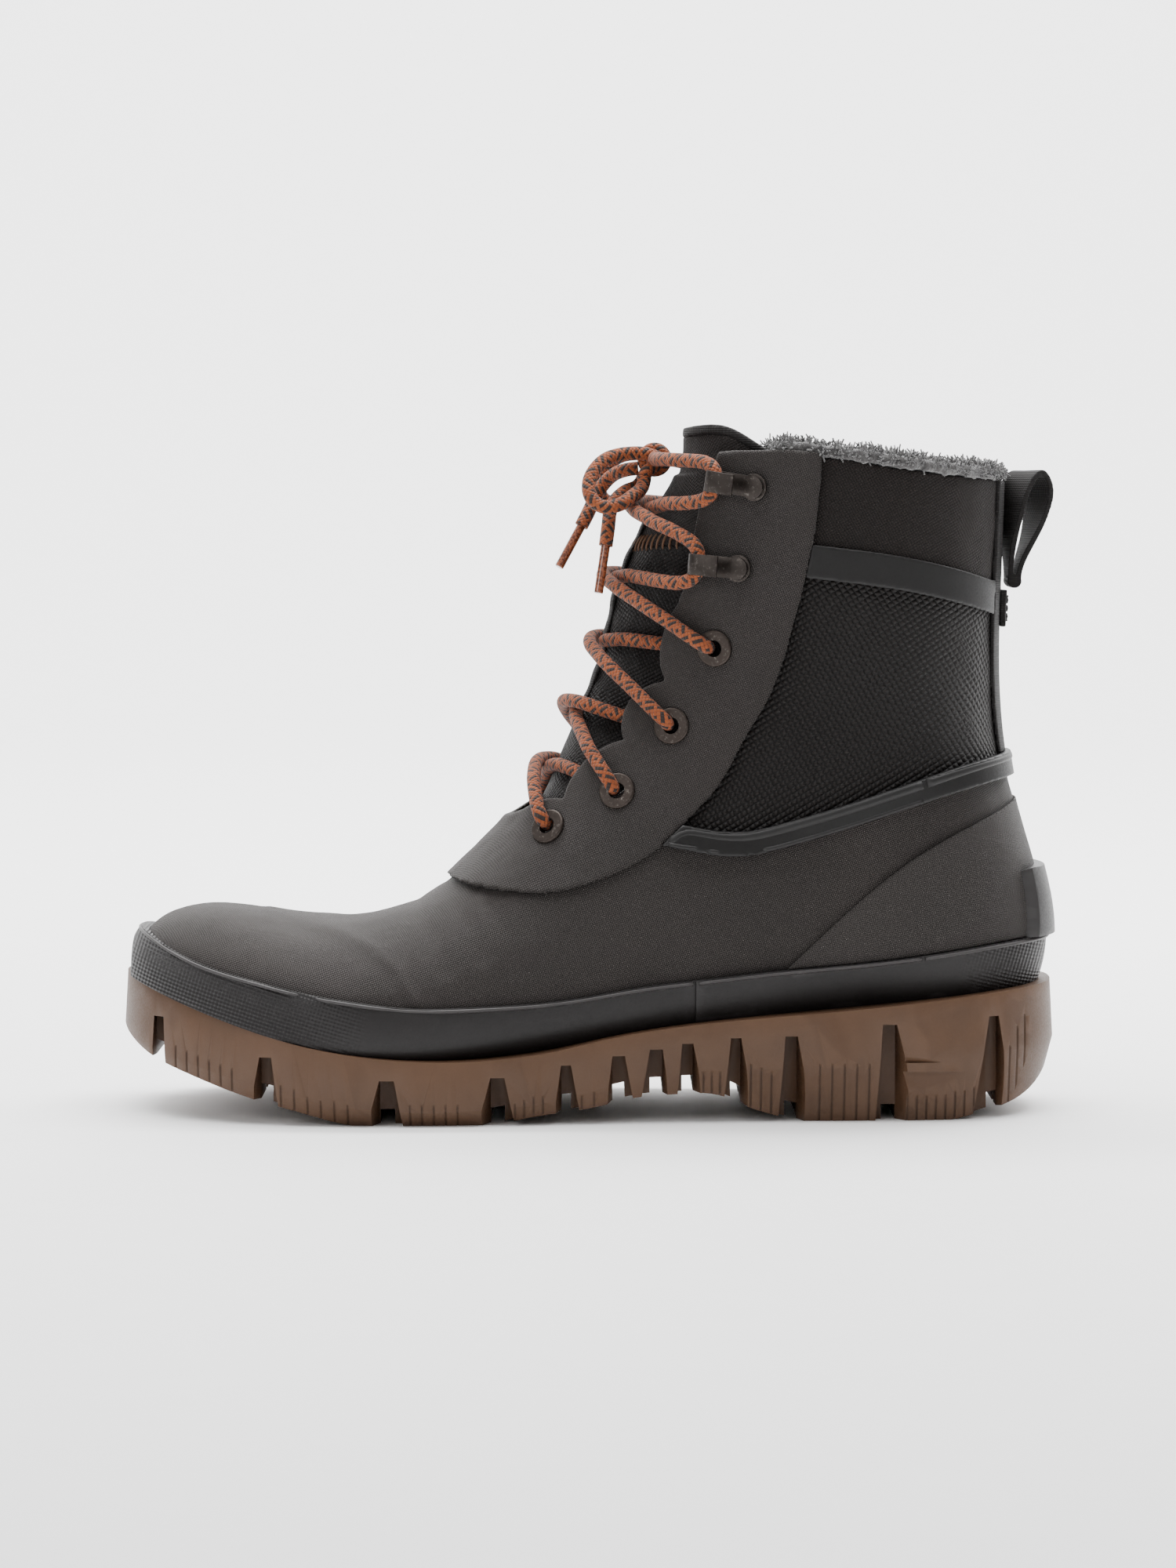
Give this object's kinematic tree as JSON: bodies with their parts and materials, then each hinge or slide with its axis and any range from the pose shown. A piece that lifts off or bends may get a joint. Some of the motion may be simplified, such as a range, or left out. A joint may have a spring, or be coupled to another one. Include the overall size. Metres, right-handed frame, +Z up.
{
  "type": "insulated hunting boot",
  "caption": "Ankle-high insulated lace-up boot for a left foot, with a lugged rubber outsole, rubber rand, fleece lining, laced tongue and heel pull loop.",
  "frame": {"origin": "on the ground, under the middle of the outsole's length and width", "axes": "+Z up out of the foot opening, +X from the toe towards the heel, +Y towards the inner side of the foot"},
  "size_m": [0.3094, 0.1161, 0.2255],
  "materials": {
    "outsole_rubber": "matte moulded tan rubber with ribbed lug sides",
    "foxing_rubber": "matte near-black rubber, finely knurled",
    "midsole_foam": "closed-cell foam",
    "shank_steel": "plain spring steel",
    "board": "pressed fibre board",
    "stiffener": "thermoplastic sheet",
    "shell_fabric": "coated taupe-grey close plain weave",
    "mesh_fabric": "coarse dark-brown ballistic weave",
    "collar_fabric": "dark-brown mesh weave",
    "welded_strip": "satin rubberised strip",
    "overlay_film": "matte rubberised overlay",
    "webbing": "ribbed polyester webbing",
    "insulation_batting": "needled synthetic batting",
    "fleece": "grey pile fleece",
    "footbed_felt": "felted fleece over foam",
    "gusset_fabric": "thin dark nylon",
    "eyelet_metal": "dark bronze coating, worn at the rim",
    "hook_metal": "satin dark gunmetal coating",
    "lace_braid": "round orange-brown braid with black flecks",
    "aglet_film": "clear copper-brown heat-shrunk film"
  },
  "bodies": {
    "boot": {"outsole": "outsole_rubber", "front_foxing": "foxing_rubber", "heel_foxing": "foxing_rubber", "heel_tab": "foxing_rubber", "midsole": "midsole_foam", "shank": "shank_steel", "lasting_board": "board", "toe_puff": "stiffener", "heel_counter": "stiffener", "lower_shell": "shell_fabric", "eyestay": "shell_fabric", "quarter_panel_outer": "mesh_fabric", "quarter_panel_inner": "mesh_fabric", "tongue_mesh": "mesh_fabric", "collar_panel_outer": "collar_fabric", "collar_panel_inner": "collar_fabric", "tongue_cloth": "collar_fabric", "collar_stripe_outer": "welded_strip", "collar_stripe_inner": "welded_strip", "shell_trim": "welded_strip", "heel_overlay": "overlay_film", "back_strip": "webbing", "loop_anchor": "webbing", "tongue_keeper": "webbing", "tongue_binding_sides": "webbing", "insulation": "insulation_batting", "tongue_foam": "insulation_batting", "lining": "fleece", "tongue_lining": "fleece", "gusset_outer": "gusset_fabric", "gusset_inner": "gusset_fabric", "eyelets_outer": "eyelet_metal", "eyelets_inner": "eyelet_metal", "lace_hooks_outer": "hook_metal", "lace_hooks_inner": "hook_metal", "hook_rivets_outer": "hook_metal", "hook_rivets_inner": "hook_metal", "lace": "lace_braid", "lace_knot": "lace_braid", "bow_loop_outer": "lace_braid", "bow_loop_inner": "lace_braid", "lace_tail_outer": "lace_braid", "lace_tail_inner": "lace_braid", "aglet_outer": "aglet_film", "aglet_inner": "aglet_film"},
    "insole": {"footbed": "footbed_felt"},
    "heel_loop": {"pull_loop": "webbing"},
    "tongue_top": {"flap_cloth": "collar_fabric", "flap_foam": "insulation_batting", "flap_lining": "fleece", "flap_binding": "webbing"}
  },
  "joints": [
    {"name": "heel_loop_swing", "type": "hinge", "parent": "boot", "child": "heel_loop", "pos_m": [0.1406, 0, 0.1745], "axis": [0, 1, 0], "range_deg": [0, 65], "stiffness_Nm_per_rad": 0.003},
    {"name": "tongue_top_flex", "type": "hinge", "parent": "boot", "child": "tongue_top", "pos_m": [0.035, 0, 0.2115], "axis": [0, 1, 0], "range_deg": [-15, 10], "stiffness_Nm_per_rad": 0.03},
    {"name": "footbed_lift", "type": "hinge", "parent": "boot", "child": "insole", "pos_m": [-0.13, 0, 0.038], "axis": [0, -1, 0], "range_deg": [0, 4]}
  ]
}
